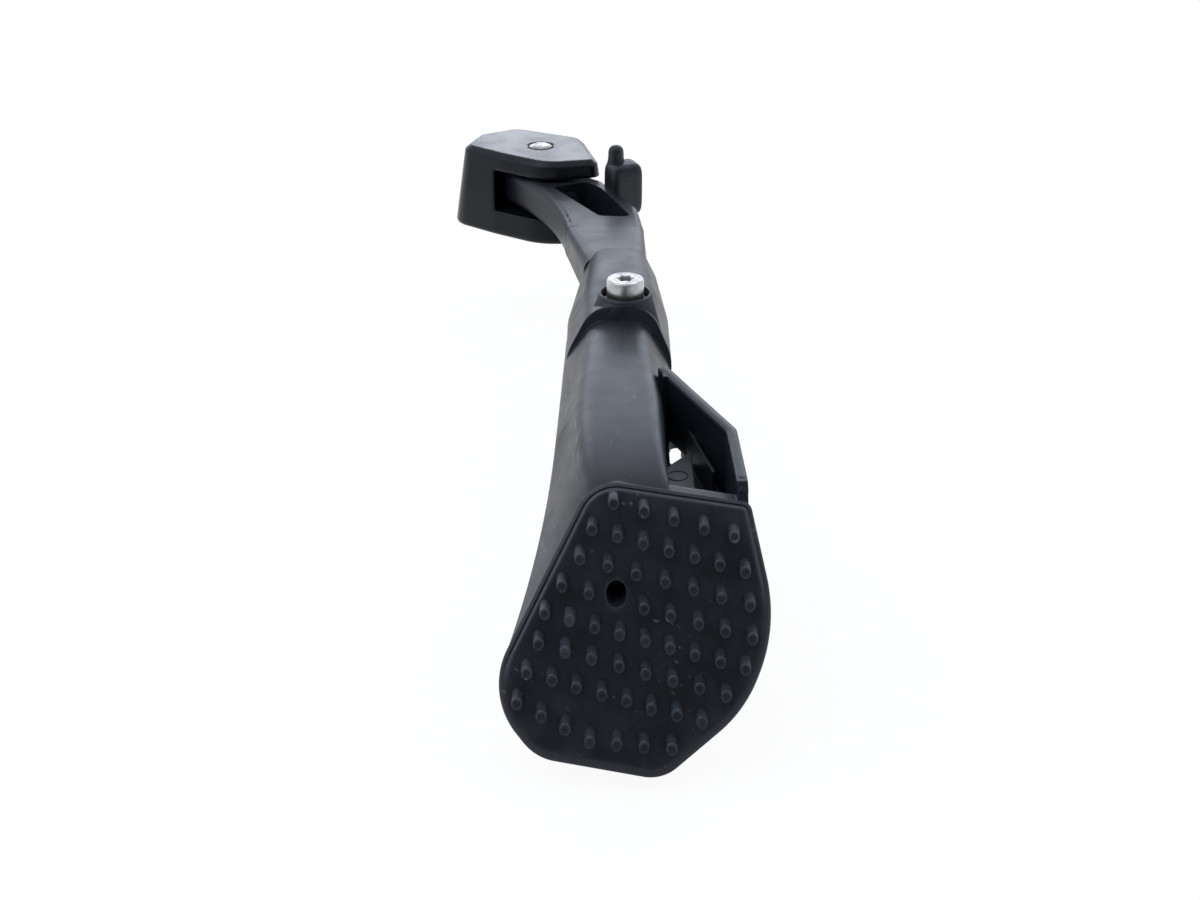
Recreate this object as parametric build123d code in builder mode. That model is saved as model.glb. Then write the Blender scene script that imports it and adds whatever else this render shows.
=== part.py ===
"""Bicycle side stand: bracket, folding arm, sliding lower leg and studded foot.

Frame: the origin is the middle of the mounting face, +Y points out of that face, -Y runs along
the leg to the foot, and +Z is the pivot axis. The stand lies on its side, opened.
"""
import os
from math import atan2, cos, degrees, radians, sin

from build123d import *

os.makedirs("parts", exist_ok=True)

# Bracket and pivot, in mm. Plan points are measured from the pivot axis.
pivot_x = 6.0               # pivot axis beside the middle of the mounting face
pivot_back = 22.0           # mounting face to pivot axis
gap_half = 6.75             # half the space between the plates
upper_plate = 5.5
lower_plate = 8.0
head_corners = [
    (-26.2, 1.0),
    (-21.6, 14.2),
    (-8.6, 21.8),
    (13.8, 10.2),
    (19.5, -16.5),
    (2.0, -20.0),
    (-13.4, -9.4),
]
head_radii = [5.0, 4.0, 6.0, 5.0, 3.0, 14.0, 9.0]
head_bevel = 1.6
head_draft = 8.5            # side walls lean out towards the lower plate
head_edge_r = 1.2
left_wall_x = -15.2         # inner face of the left wall
flange_w = 30.0             # mounting block behind the plates
flange_depth = 13.0
flange_half = 8.0
bolt_spacing = 18.0
bolt_hole_r = 2.5           # tapping size for M6
bolt_hole_depth = 7.0
fold_angle = 85.0
swing_room = 4.0            # extra turn cut free behind the folded arm

# Pivot pin, bushes and washers
pin_r = 5.0
pin_head_r = 8.0
pin_head_t = 2.6
pin_top_r = 3.7             # shouldered end in the upper plate
pin_dome = 0.5              # riveted over, standing in a shallow countersink
countersink_r = 4.6
flat_depth = 0.45           # detent flats on the pin
flat_half = 2.4
bush_wall = 1.5
bush_len = 3.2
washer_t = 0.8
thrust_r = 10.0
fit_gap = 0.02              # pieces pressed or seated in one another
run_fit = 0.05              # pin in its bushes
run_gap = 0.3               # faces that slide past each other

# Arm
eye_r = 13.2
eye_gap = 0.5
arm_left = 9.4              # left side where the neck starts
arm_right = [(21.2, -16.4), (32.0, -43.4)]
arm_right_end = 33.6
arm_round = 2.4
eye_left_angle = 215.0      # where the arm's sides leave the eye
eye_right_angle = -30.0
neck_start = 62.0           # from the pivot towards the foot
neck_end = 94.4
neck_step = 0.05            # neck's start, drawn in from the web
neck_half_w = 9.4
neck_half_h = 7.4
neck_r = 4.5
pocket_corners = [(4.6, -23.8), (15.6, -18.6), (20.4, -25.0), (29.8, -53.2), (19.6, -52.4)]
pocket_r = 1.6
pocket_floor = 2.0
bar_half_w = 7.4
bar_half_h = 6.9
bar_r = 4.0
bar_end = 182.0

# Detent. The plunger's axis runs from the pivot through this plan point.
detent_x = 25.0
detent_y = -53.0
plunger_r = 2.0
plunger_gap = 0.05
nose_gap = 0.1              # plunger nose clear of the pin's full round
detent_travel = 0.4
collar_inset = 3.0          # collar inside the eye's outer round
collar_r = 2.9
collar_t = 1.2
tail_r = 1.4
tail_len = 4.0
spring_reach = 7.2          # spring's seat beyond the eye's outer round
spring_r = 2.4
wire_r = 0.4
wire_sides = 8
spring_turns = 4
bore_r = 3.2                # spring bore, closed by a threaded plug
plug_t = 2.8
plug_socket = 2.5

# Rubber buffer on the arm's right side, placed along that side from its upper corner
buffer_along = 9.5
buffer_t = 8.4
buffer_w = 10.0
buffer_low = -3.0
buffer_top = 14.2
buffer_r = 3.4
post_r = 2.0
post_len = 3.6
knob_out = 1.2
knob_back = 2.0
knob_r = 2.5
knob_top = 19.4
knob_dome = 2.2

# Lower leg. Section corners are (across, up) from the leg's axis.
leg_offset = 24.6           # leg axis beside the pivot axis
leg_top = 10.8
bar_shift = 2.2             # bar and clamp screw beside the leg's axis
mouth_at = 95.0             # distances along the leg, from the pivot
crown_start = 126.0
crown_top_end = 147.0
crown_end = 156.0
crown_slope = 66.0          # the crown's front is cut back at this slope
leg_start = 134.0
foot_start = 200.0
foot_mid_share = 0.604      # middle section's place between the foot's start and its face
face_at = 248.0             # top edge of the pad's face
sleeve_gap = 0.3
bar_clear = 3.0
mouth_corners = [(-5.6, 10.4), (7.4, 10.4), (13.0, -1.0), (8.4, -11.5), (-6.6, -11.5), (-11.2, -1.0)]
mouth_radii = [5.5, 5.5, 8.0, 6.0, 6.0, 8.0]
crown_corners = [(-6.8, 12.6), (8.8, 12.6), (15.6, -1.5), (10.0, -14.0), (-9.0, -14.0), (-15.2, -1.5)]
crown_radii = [8.0, 8.0, 11.0, 8.0, 8.0, 11.0]
root_corners = [(-5.4, 9.0), (6.2, 9.0), (15.3, -2.5), (10.6, -14.5), (-10.0, -14.5), (-16.0, -2.5)]
root_radii = [7.0, 7.0, 10.0, 8.0, 8.0, 10.0]
leg_corners = [(-8.9, leg_top), (9.4, leg_top), (15.2, -3.5), (11.0, -15.0), (-10.5, -15.0), (-17.0, -4.0)]
leg_radii = [6.0, 3.5, 9.0, 8.0, 8.0, 9.0]
mid_corners = [(-8.2, leg_top), (9.8, leg_top), (15.2, -7.0), (10.4, -23.0), (-13.5, -26.0), (-20.2, -16.0)]
mid_radii = [5.0, 3.0, 9.0, 8.0, 8.0, 8.0]
foot_corners = [(-4.6, -0.2), (12.0, -1.6), (15.0, -28.0), (9.5, -57.5), (-17.0, -55.5), (-27.8, -41.5)]
foot_radii = [3.0, 2.5, 12.0, 6.0, 8.0, 7.0]

# Foot and pad. The face leans back from the leg's cross-section; corners are (across, up the face).
face_lean = 30.0
pad_corners = [
    (-6.3, 2.1),
    (28.3, -3.1),
    (34.2, -30.2),
    (26.9, -48.3),
    (8.9, -63.3),
    (-18.6, -58.5),
    (-27.4, -45.2),
]
pad_radii = [9.0, 2.5, 36.0, 29.0, 9.0, 11.0, 7.0]
sole_inset = 0.5
sole_t = 4.0
pad_t = 4.0
tread_drop = 0.5            # tread behind the foot's face plane
edge_w = 2.0                # bevelled border round the tread
edge_h = 1.0
stud_r = 1.15
stud_h = 3.7
row_first = -2.4            # first row's height at the leg's axis
row_step = 6.95
row_slope = -0.275
stud_rows = [               # left end, right end and places in each row
    (-1.7, 24.5, 5),
    (-6.2, 26.8, 7),
    (-9.0, 27.8, 7),
    (-12.8, 28.3, 8),
    (-16.5, 26.7, 9),
    (-17.9, 22.6, 8),
    (-20.4, 17.3, 8),
]
toe_row = [(-22.4, -44.8), (-6.8, -53.1), (10.8, -54.5)]
toe_studs = 3               # gaps in each half of the last row
hole_at = (-1.0, -23.0)     # the stud place nearest to this point is the hole
hole_rx = 2.2
hole_ry = 2.95
hole_depth = 9.0

# Step lever on the right of the foot, with the open pocket behind its wall
lever_wall = 2.4
lever_path = [(11.0, -181.0), (26.0, -217.5), (27.3, -262.0)]
lever_corner_r = 5.0
lever_low = -9.0
lever_high = 10.2
lever_floor = 2.4
pocket_side = 10.6          # pocket's wall on the leg
pocket_from = 187.0
window_w = 4.8
window_l = 15.0
window_at = (14.9, -195.5)
gusset_back = [(10.0, -220.0), (17.2, -210.1)]
gusset_top = 1.0
rib_line = [(15.9, -192.6), (22.0, -221.0)]
rib_w = 0.8

# Clamp screw (M6), washer and square nut
screw_at = 139.5
screw_r = 3.0
screw_gap = 0.35
head_r = 5.0
head_h = 6.0
head_chamfer = 0.5
socket_r = 2.25
lobe_r = 0.5
socket_depth = 3.0
boss_r = 7.7
boss_top = 14.0
boss_round = 1.0
recess_r = 6.55
recess_depth = 3.4
washer_r = 5.9
clamp_washer_t = 1.4
nut_w = 10.0
nut_t = 5.0
nut_top = -1.0
length_travel = 32.0

# Sizes worked out from the values above
arm_half = gap_half - washer_t - run_gap
bush_r = pin_r + run_fit + bush_wall
plate_top = gap_half + upper_plate
plate_low = -gap_half - lower_plate
leg_x = pivot_x + leg_offset
bar_x = leg_x + bar_shift
detent_angle = degrees(atan2(detent_y, detent_x))
lean = radians(face_lean)
recess_floor = boss_top - recess_depth
head_low = recess_floor + clamp_washer_t
swing_reach = 4 * eye_r
collar_at = eye_r - collar_inset
spring_seat = eye_r + spring_reach
foot_mid = foot_start + foot_mid_share * (face_at - foot_start)


def plan(z):
    """Plan plane at height z with its origin on the pivot axis."""
    return Plane(origin=(pivot_x, -pivot_back, z))


def across(distance, x=leg_x):
    """Plane square to the leg, at a distance from the pivot towards the foot."""
    return Plane(origin=(x, -pivot_back - distance, 0), x_dir=(1, 0, 0), z_dir=(0, -1, 0))


def turned(point, angle):
    """Plan point turned about the pivot axis."""
    turn = radians(angle)
    return (point[0] * cos(turn) - point[1] * sin(turn), point[0] * sin(turn) + point[1] * cos(turn))


def along_detent(distance):
    """Plane square to the plunger, at a distance from the pivot axis."""
    turn = radians(detent_angle)
    reach = Vector(cos(turn), sin(turn), 0)
    start = Vector(pivot_x, -pivot_back, 0) + reach * distance
    return Plane(origin=start, x_dir=(0, 0, 1), z_dir=reach)


def rounded_profile(plane, corners, radii):
    """Closed profile of straight sides with one radius at each corner."""
    with BuildSketch(plane) as profile:
        with BuildLine():
            FilletPolyline(*corners, radius=radii, close=True)
        make_face()
    return profile.sketch


# The mounting face, and the foot's planes: the tread lies behind the face, the sole carries the pad.
mount_plane = Plane(origin=(0, 0, 0), x_dir=(1, 0, 0), z_dir=(0, 1, 0))
face_plane = Plane(
    origin=(leg_x, -pivot_back - face_at, leg_top),
    x_dir=(1, 0, 0),
    z_dir=(0, -cos(lean), sin(lean)),
)
tread_plane = face_plane.offset(-tread_drop)
sole_plane = face_plane.offset(-pad_t)

# Studs: sloped rows of even places, and a last row that follows the toe.
stud_points = []
for row, (left, right, count) in enumerate(stud_rows):
    for index in range(count):
        across_row = left + (right - left) * index / (count - 1)
        stud_points.append((across_row, row_first - row * row_step + row_slope * across_row))
hole_point = min(stud_points, key=lambda point: (Vector(*point) - Vector(*hole_at)).length)
stud_points.remove(hole_point)
for start, end in zip(toe_row, toe_row[1:]):
    for index in range(toe_studs):
        share = index / toe_studs
        place = Vector(*start) + (Vector(*end) - Vector(*start)) * share
        stud_points.append((place.X, place.Y))
stud_points.append(toe_row[-1])

# Housing: one casting, two plates joined by the left wall and the mounting block.
eye_right = (eye_r * cos(radians(eye_right_angle)), eye_r * sin(radians(eye_right_angle)))
eye_left = (eye_r * cos(radians(eye_left_angle)), eye_r * sin(radians(eye_left_angle)))
with BuildPart() as housing:
    extrude(
        rounded_profile(plan(plate_top), head_corners, head_radii),
        amount=plate_low - plate_top,
        taper=-head_draft,
    )
    chamfer(housing.faces().sort_by(Axis.Z)[-1].edges(), head_bevel)
    fillet(housing.faces().sort_by(Axis.Z)[0].edges(), head_edge_r)
    with BuildSketch(Plane.XY.offset(-flange_half)):
        with Locations((0, -flange_depth / 2)):
            RectangleRounded(flange_w, flange_depth, head_edge_r)
    extrude(amount=2 * flange_half)
    split(bisect_by=mount_plane, keep=Keep.BOTTOM)
    with BuildSketch(plan(-gap_half)):
        Circle(eye_r + eye_gap)
        with BuildLine():
            Polyline(
                (left_wall_x, 0),
                (left_wall_x, -swing_reach),
                (swing_reach, -swing_reach),
                (swing_reach, swing_reach),
                turned(arm_right[0], fold_angle + swing_room),
                turned(eye_right, fold_angle + swing_room),
                close=True,
            )
        make_face()
    extrude(amount=2 * gap_half, mode=Mode.SUBTRACT)
    with Locations((pivot_x, -pivot_back, plate_top)):
        CounterSinkHole(pin_top_r + fit_gap, countersink_r, depth=plate_top)
    with Locations(Plane(origin=(pivot_x, -pivot_back, plate_low), z_dir=(0, 0, -1))):
        CounterBoreHole(pin_r + fit_gap, pin_head_r + fit_gap, pin_head_t, depth=-plate_low)
    with Locations(mount_plane):
        with GridLocations(bolt_spacing, 0, 2, 1):
            Hole(radius=bolt_hole_r, depth=bolt_hole_depth)
housing.part.label = "housing"
export_step(housing.part, "parts/housing.step")

# Pivot pin: headed below, riveted above, with one detent flat for each resting place of the arm.
with BuildPart() as pivot_pin:
    with BuildSketch(plan(plate_low)):
        Circle(pin_head_r)
    extrude(amount=pin_head_t)
    with BuildSketch(plan(plate_low)):
        Circle(pin_r)
    extrude(amount=gap_half - plate_low)
    with BuildSketch(plan(gap_half)):
        Circle(pin_top_r)
    extrude(amount=upper_plate + pin_dome)
    chamfer(pivot_pin.faces().sort_by(Axis.Z)[-1].edges(), length=pin_dome, length2=2 * pin_dome)
    with BuildSketch(plan(-flat_half)):
        with PolarLocations(2 * pin_r - flat_depth, 2, detent_angle, fold_angle, endpoint=True):
            Rectangle(2 * pin_r, 2 * pin_r)
    extrude(amount=2 * flat_half, mode=Mode.SUBTRACT)
pivot_pin.part.label = "pivot_pin"
export_step(pivot_pin.part, "parts/pivot_pin.step")

# Thrust washers on the plates and bushes in the eye, one of each above and below.
for name, washer_z, bush_z in (
    ("upper", gap_half - washer_t, arm_half - bush_len),
    ("lower", -gap_half, -arm_half),
):
    with BuildPart() as thrust_washer:
        with BuildSketch(plan(washer_z)):
            Circle(thrust_r)
            Circle(pin_r + fit_gap, mode=Mode.SUBTRACT)
        extrude(amount=washer_t)
    thrust_washer.part.label = name + "_thrust_washer"
    export_step(thrust_washer.part, "parts/" + name + "_thrust_washer.step")
    with BuildPart() as bush:
        with BuildSketch(plan(bush_z)):
            Circle(bush_r)
            Circle(pin_r + run_fit, mode=Mode.SUBTRACT)
        extrude(amount=bush_len)
    bush.part.label = name + "_bush"
    export_step(bush.part, "parts/" + name + "_bush.step")

# The arm's right side, which carries the buffer
side_run = Vector(arm_right[1][0] - arm_right[0][0], arm_right[1][1] - arm_right[0][1], 0).normalized()
side_out = Vector(-side_run.Y, side_run.X, 0)
side_origin = Vector(pivot_x + arm_right[0][0], -pivot_back + arm_right[0][1], 0) + side_run * buffer_along
side_plane = Plane(origin=side_origin, x_dir=side_run, z_dir=side_out)

# Arm: eye, pocketed web, neck and the bar that the lower leg slides on.
with BuildPart() as arm:
    with BuildSketch(plan(-arm_half)):
        Circle(eye_r)
        with BuildLine():
            TangentArc(eye_left, (arm_left, -neck_start), tangent=(-eye_left[1], eye_left[0]))
            Polyline(
                (arm_left, -neck_start),
                (arm_right_end, -neck_start),
                arm_right[1],
                arm_right[0],
                eye_right,
                eye_left,
            )
        make_face()
    extrude(amount=2 * arm_half)
    rims = arm.faces().sort_by(Axis.Z)[-1].edges() + arm.faces().sort_by(Axis.Z)[0].edges()
    fillet(rims.sort_by(Axis.Y)[2:], arm_round)
    with BuildSketch(across(neck_start)):
        with Locations(((arm_left + arm_right_end) / 2 - leg_offset, 0)):
            RectangleRounded(arm_right_end - arm_left - 2 * neck_step, 2 * (arm_half - neck_step), arm_round)
    with BuildSketch(across(neck_end)):
        RectangleRounded(2 * neck_half_w, 2 * neck_half_h, neck_r)
    loft()
    with BuildSketch(across(neck_end, bar_x)):
        RectangleRounded(2 * bar_half_w, 2 * bar_half_h, bar_r)
    extrude(amount=bar_end - neck_end)
    with BuildSketch(plan(pocket_floor - arm_half)):
        with BuildLine():
            FilletPolyline(*pocket_corners, radius=pocket_r, close=True)
        make_face()
    extrude(amount=2 * neck_half_h, mode=Mode.SUBTRACT)
    with BuildSketch(along_detent(collar_at - detent_travel - plunger_gap)):
        Circle(bore_r)
    extrude(amount=spring_seat + 2 * plug_t - collar_at, mode=Mode.SUBTRACT)
    with BuildSketch(plan(-arm_half)):
        Circle(bush_r + fit_gap)
    extrude(amount=2 * arm_half, mode=Mode.SUBTRACT)
    with BuildSketch(along_detent(0)):
        Circle(plunger_r + plunger_gap)
    extrude(amount=collar_at, mode=Mode.SUBTRACT)
    with BuildSketch(plan(-bar_half_h)):
        with Locations((leg_offset + bar_shift, -screw_at - length_travel / 2)):
            SlotCenterToCenter(length_travel, 2 * (screw_r + screw_gap), rotation=90)
    extrude(amount=2 * bar_half_h, mode=Mode.SUBTRACT)
    with BuildSketch(plan(-bar_half_h)):
        with Locations((leg_offset + bar_shift, -screw_at - length_travel / 2)):
            Rectangle(nut_w + 2 * run_gap, length_travel + nut_w + 2 * run_gap)
    extrude(amount=nut_top + run_gap + bar_half_h, mode=Mode.SUBTRACT)
    with BuildSketch(side_plane):
        Circle(post_r)
    extrude(amount=post_len)
    with BuildSketch(side_plane):
        Circle(post_r)
    extrude(amount=-post_r)
arm.part.label = "arm"
export_step(arm.part, "parts/arm.step")

# Detent plunger: round nose, collar for the spring and a guide tail.
with BuildPart() as detent_plunger:
    with BuildSketch(along_detent(pin_r + nose_gap)):
        Circle(plunger_r)
    extrude(amount=collar_at - pin_r - nose_gap)
    with BuildSketch(along_detent(collar_at)):
        Circle(collar_r)
    extrude(amount=collar_t)
    with BuildSketch(along_detent(collar_at + collar_t)):
        Circle(tail_r)
    extrude(amount=tail_len)
detent_plunger.part.label = "detent_plunger"
export_step(detent_plunger.part, "parts/detent_plunger.step")

# Detent spring: one wire wound from the collar to its seat in the arm.
coil_start = collar_at + collar_t + wire_r + fit_gap
coil_len = spring_seat - wire_r - fit_gap - coil_start
with BuildPart() as detent_spring:
    with BuildLine() as coil:
        Helix(
            pitch=coil_len / spring_turns,
            height=coil_len,
            radius=spring_r,
            center=along_detent(coil_start).origin,
            direction=along_detent(coil_start).z_dir,
        )
    with BuildSketch(Plane(origin=coil.line @ 0, z_dir=coil.line % 0)):
        RegularPolygon(wire_r, wire_sides)
    sweep(path=coil.line, is_frenet=True)
detent_spring.part.label = "detent_spring"
export_step(detent_spring.part, "parts/detent_spring.step")

# Plug with a hexagon socket, which closes the spring's bore in the arm's pocket.
with BuildPart() as detent_plug:
    with BuildSketch(along_detent(spring_seat)):
        Circle(bore_r - fit_gap)
    extrude(amount=plug_t)
    with BuildSketch(along_detent(spring_seat + plug_t)):
        RegularPolygon(plug_socket / 2, 6, major_radius=False)
    extrude(amount=-plug_t / 2, mode=Mode.SUBTRACT)
detent_plug.part.label = "detent_plug"
export_step(detent_plug.part, "parts/detent_plug.step")

# Rubber buffer with its knob, pushed over the post on the arm's side.
with BuildPart() as bumper:
    with BuildSketch(Plane(origin=side_origin + Vector(0, 0, buffer_low), x_dir=side_run, z_dir=(0, 0, 1))):
        with Locations((0, buffer_t / 2 + fit_gap)):
            Rectangle(buffer_w, buffer_t)
    extrude(amount=buffer_top - buffer_low)
    outer = bumper.faces().sort_by(Axis(side_origin, side_out))[-1]
    fillet(outer.edges(), buffer_r)
    with BuildSketch(Plane(origin=side_origin + Vector(0, 0, knob_top), x_dir=side_run, z_dir=(0, 0, 1))):
        with Locations((-knob_back, knob_out)):
            Circle(knob_r)
    extrude(amount=buffer_top - buffer_r - knob_top)
    fillet(bumper.faces().sort_by(Axis.Z)[-1].edges(), knob_dome)
    with BuildSketch(side_plane):
        Circle(post_r + fit_gap)
    extrude(amount=post_len + fit_gap, mode=Mode.SUBTRACT)
bumper.part.label = "bumper"
export_step(bumper.part, "parts/bumper.step")

# Lower leg: sleeve, screw boss, leg, foot and step lever, moulded as one piece.
with BuildPart() as lower_leg:
    loft([
        rounded_profile(across(mouth_at), mouth_corners, mouth_radii),
        rounded_profile(across(crown_start), crown_corners, crown_radii),
    ])
    extrude(rounded_profile(across(crown_start), crown_corners, crown_radii), amount=crown_end - crown_start)
    crown_cut = Plane(
        origin=(leg_x, -pivot_back - crown_top_end, crown_corners[0][1]),
        z_dir=(0, -sin(radians(crown_slope)), cos(radians(crown_slope))),
    )
    split(bisect_by=crown_cut, keep=Keep.BOTTOM)
    loft([
        rounded_profile(across(leg_start), root_corners, root_radii),
        rounded_profile(across(foot_start), leg_corners, leg_radii),
    ])
    loft([
        rounded_profile(across(foot_start), leg_corners, leg_radii),
        rounded_profile(across(foot_mid), mid_corners, mid_radii),
        rounded_profile(sole_plane, foot_corners, foot_radii),
    ])
    with BuildSketch(Plane(origin=(leg_x, -pivot_back, lever_low))):
        with BuildLine():
            FilletPolyline(*lever_path, radius=lever_corner_r)
        trace(line_width=lever_wall)
    extrude(amount=lever_high - lever_low)
    with BuildSketch(Plane(origin=(leg_x, -pivot_back, lever_low))):
        Polygon(*lever_path, (lever_path[0][0], lever_path[2][1]), align=None)
    extrude(amount=lever_high - lever_low)
    with BuildSketch(Plane(origin=(leg_x, -pivot_back, lever_low + lever_floor))):
        Polygon(*lever_path, (pocket_side, lever_path[2][1]), (pocket_side, lever_path[0][1]), align=None)
        with BuildLine(mode=Mode.PRIVATE) as lever_line:
            FilletPolyline(*lever_path, radius=lever_corner_r)
        trace(lever_line.line, line_width=lever_wall, mode=Mode.SUBTRACT)
        with Locations((pocket_side, -pocket_from)):
            Rectangle(swing_reach, 2 * swing_reach, align=(Align.MIN, Align.MAX), mode=Mode.INTERSECT)
    extrude(amount=swing_reach, mode=Mode.SUBTRACT)
    with BuildSketch(Plane(origin=(leg_x, -pivot_back, lever_low + lever_floor))):
        with Locations(window_at):
            SlotOverall(window_l, window_w, rotation=90)
    extrude(amount=-swing_reach, mode=Mode.SUBTRACT)
    with BuildSketch(Plane(origin=(leg_x, -pivot_back, lever_low))):
        Polygon(
            *gusset_back,
            (gusset_back[1][0], lever_path[2][1]),
            (gusset_back[0][0], lever_path[2][1]),
            align=None,
        )
    extrude(amount=gusset_top - lever_low)
    with BuildSketch(Plane(origin=(leg_x, -pivot_back, lever_low))):
        with BuildLine():
            Line(*rib_line)
        trace(line_width=rib_w)
    extrude(amount=gusset_top - lever_low)
    with BuildSketch(sole_plane):
        with BuildLine():
            FilletPolyline(*pad_corners, radius=pad_radii, close=True)
        make_face()
        offset(amount=-sole_inset, mode=Mode.REPLACE)
    extrude(amount=sole_t, dir=(0, 1, 0))
    split(bisect_by=sole_plane, keep=Keep.BOTTOM)
    with BuildSketch(plan(0)):
        with Locations((leg_offset + bar_shift, -screw_at)):
            Circle(boss_r)
    extrude(amount=boss_top)
    fillet(lower_leg.faces().sort_by(Axis.Z)[-1].edges(), boss_round)
    with BuildSketch(across(mouth_at, bar_x)):
        RectangleRounded(2 * (bar_half_w + sleeve_gap), 2 * (bar_half_h + sleeve_gap), bar_r + sleeve_gap)
    extrude(amount=bar_end + bar_clear - mouth_at, mode=Mode.SUBTRACT)
    with Locations((bar_x, -pivot_back - screw_at, boss_top)):
        CounterBoreHole(screw_r + screw_gap, recess_r, recess_depth, depth=boss_top)
    with BuildSketch(tread_plane):
        with Locations(hole_point):
            Ellipse(hole_rx, hole_ry)
    extrude(amount=hole_depth, dir=(0, 1, 0), mode=Mode.SUBTRACT)
lower_leg.part.label = "lower_leg"
export_step(lower_leg.part, "parts/lower_leg.step")

# Clamp screw with a six-lobe socket
with BuildPart() as clamp_screw:
    with BuildSketch(Plane(origin=(bar_x, -pivot_back - screw_at, head_low))):
        Circle(head_r)
    extrude(amount=head_h)
    chamfer(clamp_screw.faces().sort_by(Axis.Z)[-1].edges(), head_chamfer)
    with BuildSketch(Plane(origin=(bar_x, -pivot_back - screw_at, head_low))):
        Circle(screw_r)
    extrude(amount=-(head_low + bar_half_h))
    with BuildSketch(Plane(origin=(bar_x, -pivot_back - screw_at, head_low + head_h))):
        Circle(socket_r - lobe_r)
        with PolarLocations(socket_r - lobe_r, 6):
            Circle(lobe_r)
    extrude(amount=-socket_depth, mode=Mode.SUBTRACT)
clamp_screw.part.label = "clamp_screw"
export_step(clamp_screw.part, "parts/clamp_screw.step")

with BuildPart() as clamp_washer:
    with BuildSketch(Plane(origin=(bar_x, -pivot_back - screw_at, recess_floor))):
        Circle(washer_r)
        Circle(screw_r + fit_gap, mode=Mode.SUBTRACT)
    extrude(amount=clamp_washer_t)
clamp_washer.part.label = "clamp_washer"
export_step(clamp_washer.part, "parts/clamp_washer.step")

with BuildPart() as clamp_nut:
    with BuildSketch(Plane(origin=(bar_x, -pivot_back - screw_at, nut_top))):
        RectangleRounded(nut_w, nut_w, head_chamfer)
        Circle(screw_r + fit_gap, mode=Mode.SUBTRACT)
    extrude(amount=-nut_t)
clamp_nut.part.label = "clamp_nut"
export_step(clamp_nut.part, "parts/clamp_nut.step")

# Foot pad: leaning tread with a bevelled border, and studs that stand along the leg's axis.
with BuildPart() as foot_pad:
    extrude(rounded_profile(sole_plane, pad_corners, pad_radii), amount=pad_t - tread_drop)
    tread = foot_pad.faces().sort_by(Axis(face_plane.origin, face_plane.z_dir))[-1]
    chamfer(tread.edges(), length=edge_w, length2=edge_h, reference=tread)
    with BuildSketch(tread_plane):
        with Locations(*stud_points):
            Ellipse(stud_r, stud_r / cos(lean))
    extrude(amount=stud_h, dir=(0, -1, 0))
    with BuildSketch(tread_plane):
        with Locations(*stud_points):
            Ellipse(stud_r, stud_r / cos(lean))
    extrude(amount=pad_t / 2, dir=(0, 1, 0))
    with BuildSketch(tread_plane):
        with Locations(hole_point):
            Ellipse(hole_rx, hole_ry)
    extrude(amount=hole_depth, dir=(0, 1, 0), mode=Mode.SUBTRACT)
foot_pad.part.label = "foot_pad"
export_step(foot_pad.part, "parts/foot_pad.step")
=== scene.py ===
"""Bicycle side stand: finishes, moulded and turned details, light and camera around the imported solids.

The part's own frame: +Y out of the mounting face, -Y along the leg towards the foot, +Z along the
pivot axis. Shapes are worked out in millimetres and put into the meshes in metres.
"""
import logging
import math
from dataclasses import dataclass
from enum import Enum
from typing import Any

import bmesh
import bpy
import numpy as np
from bpy.types import Material, Node, NodeSocket as Socket, Object
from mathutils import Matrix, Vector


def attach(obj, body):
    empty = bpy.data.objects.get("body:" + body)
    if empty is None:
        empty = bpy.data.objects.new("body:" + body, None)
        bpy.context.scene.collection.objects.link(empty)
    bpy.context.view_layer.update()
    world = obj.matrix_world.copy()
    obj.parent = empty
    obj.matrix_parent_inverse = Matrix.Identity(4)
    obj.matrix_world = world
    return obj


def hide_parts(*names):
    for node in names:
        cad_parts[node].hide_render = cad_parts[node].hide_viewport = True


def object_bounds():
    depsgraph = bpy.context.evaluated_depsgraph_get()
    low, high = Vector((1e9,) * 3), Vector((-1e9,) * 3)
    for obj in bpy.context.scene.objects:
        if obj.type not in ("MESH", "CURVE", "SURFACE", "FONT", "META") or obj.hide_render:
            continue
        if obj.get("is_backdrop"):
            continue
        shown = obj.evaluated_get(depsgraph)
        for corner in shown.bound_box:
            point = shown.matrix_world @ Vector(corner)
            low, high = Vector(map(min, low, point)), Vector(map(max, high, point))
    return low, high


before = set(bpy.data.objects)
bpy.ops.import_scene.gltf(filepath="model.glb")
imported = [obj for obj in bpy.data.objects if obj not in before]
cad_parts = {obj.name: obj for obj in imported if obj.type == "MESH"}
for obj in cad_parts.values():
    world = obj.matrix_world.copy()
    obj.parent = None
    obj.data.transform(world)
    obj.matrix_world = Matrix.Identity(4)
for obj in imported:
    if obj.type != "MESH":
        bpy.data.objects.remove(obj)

LOG = logging.getLogger("side_stand")
MM = 0.001
# Name of the per-point value that holds wear and painted light: lit stud sides, shaded stud roots and a
# highlight on the sole's bead.
WEAR_AND_LIGHT = "wear_and_light"
SHARP_ANGLE = 40.0
MERGE_MM = 0.002
SLIVER_MM = 0.0005
ARC_STEPS = 24
THREAD_SLOPE = 1.6
THREAD_FLAT = 0.2
ROWS_PER_PITCH = 8
WHITE = "#ffffff"
BEVEL_SAMPLES = 6
SPOT_CORE = 0.35

Array = np.ndarray
Pair = tuple[float, float]
Triple = tuple[float, float, float]
Pairs = tuple[Pair, ...]
Triples = tuple[Triple, ...]


class Body(Enum):
    """Rigid bodies that new pieces ride on."""

    BRACKET = "bracket"
    ARM = "arm"
    LEG = "leg"


class Axis(Enum):
    """Directions that a turned piece stands along, each with its two cross directions."""

    UP = ((1.0, 0.0, 0.0), (0.0, 1.0, 0.0), (0.0, 0.0, 1.0))
    OUT = ((0.0, 0.0, 1.0), (1.0, 0.0, 0.0), (0.0, 1.0, 0.0))


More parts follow.
